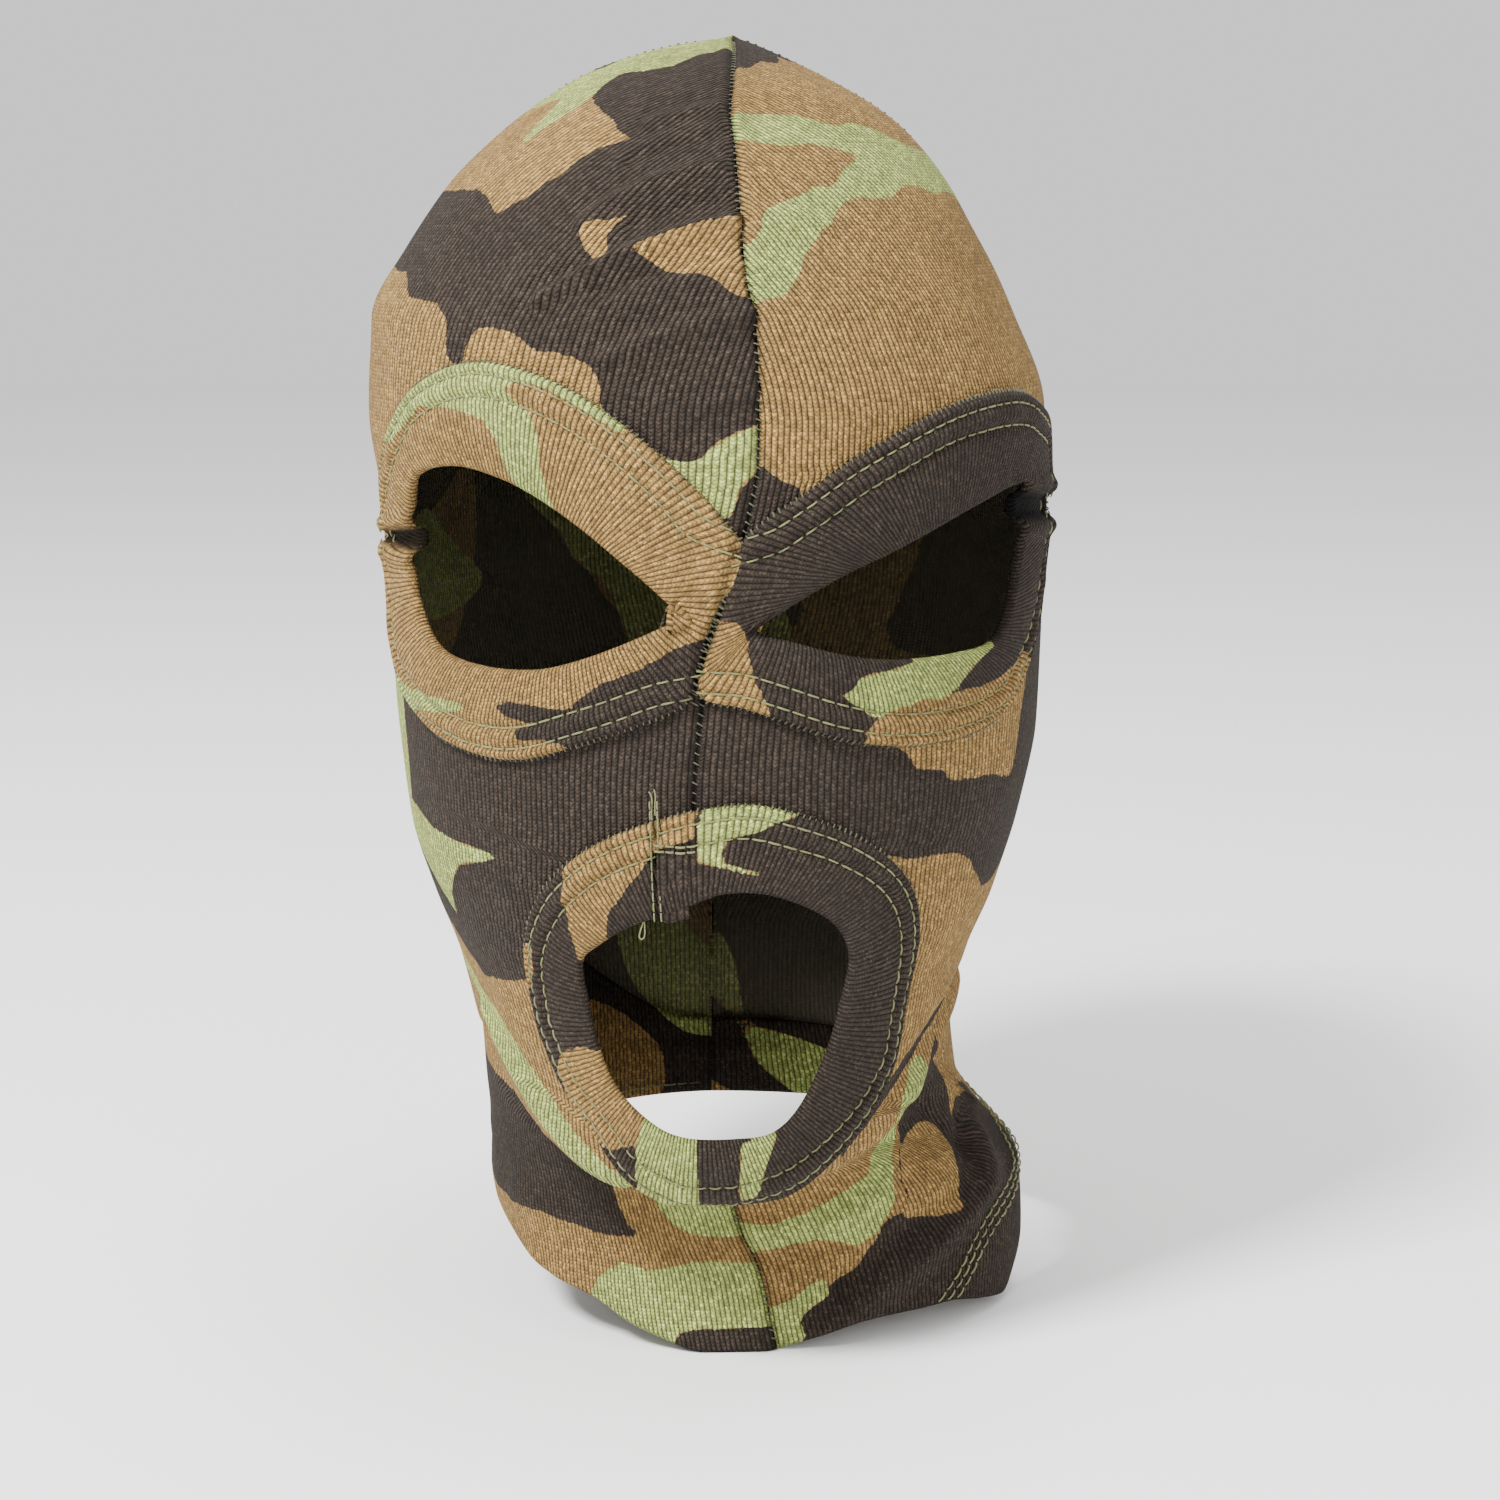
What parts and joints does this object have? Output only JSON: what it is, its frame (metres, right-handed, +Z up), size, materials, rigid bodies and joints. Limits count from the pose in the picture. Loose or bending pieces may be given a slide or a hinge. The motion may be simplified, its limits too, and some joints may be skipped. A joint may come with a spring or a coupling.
{
  "type": "camouflage knit face mask",
  "caption": "Camouflage rib-knit full face mask (balaclava) with banded eye and mouth openings, drawn in the shape it takes on a head.",
  "frame": {"origin": "middle of the neck opening, on the head's axis, level with the hem at the throat; the head the mask is worn on seats there", "axes": "+Z up to the crown, -Y the way the face looks, +X to the wearer's left"},
  "size_m": [0.1562, 0.1887, 0.2905],
  "materials": {
    "hood_cloth": "rib knit in tan, light green and dark brown camouflage",
    "band_cloth": "rib knit strip folded double, same camouflage",
    "seam_thread": "dark olive overlock thread",
    "topstitch_thread": "olive cover-stitch thread"
  },
  "bodies": {
    "root": {"left_hood_panel": "hood_cloth", "right_hood_panel": "hood_cloth", "left_eye_band": "band_cloth", "right_eye_band": "band_cloth", "mouth_band": "band_cloth", "forehead_seam": "seam_thread", "bridge_seam": "seam_thread", "nose_seam": "seam_thread", "chin_seam": "seam_thread", "back_seam": "seam_thread", "left_crown_seam": "seam_thread", "right_crown_seam": "seam_thread", "left_eye_overlock": "seam_thread", "right_eye_overlock": "seam_thread", "mouth_overlock": "seam_thread", "left_eye_topstitch_outer": "topstitch_thread", "left_eye_topstitch_inner": "topstitch_thread", "right_eye_topstitch_outer": "topstitch_thread", "right_eye_topstitch_inner": "topstitch_thread", "mouth_topstitch_outer": "topstitch_thread", "mouth_topstitch_inner": "topstitch_thread", "mouth_join_stitch": "topstitch_thread", "hem_topstitch_upper": "topstitch_thread", "hem_topstitch_middle": "topstitch_thread", "hem_topstitch_lower": "topstitch_thread"}
  },
  "joints": []
}
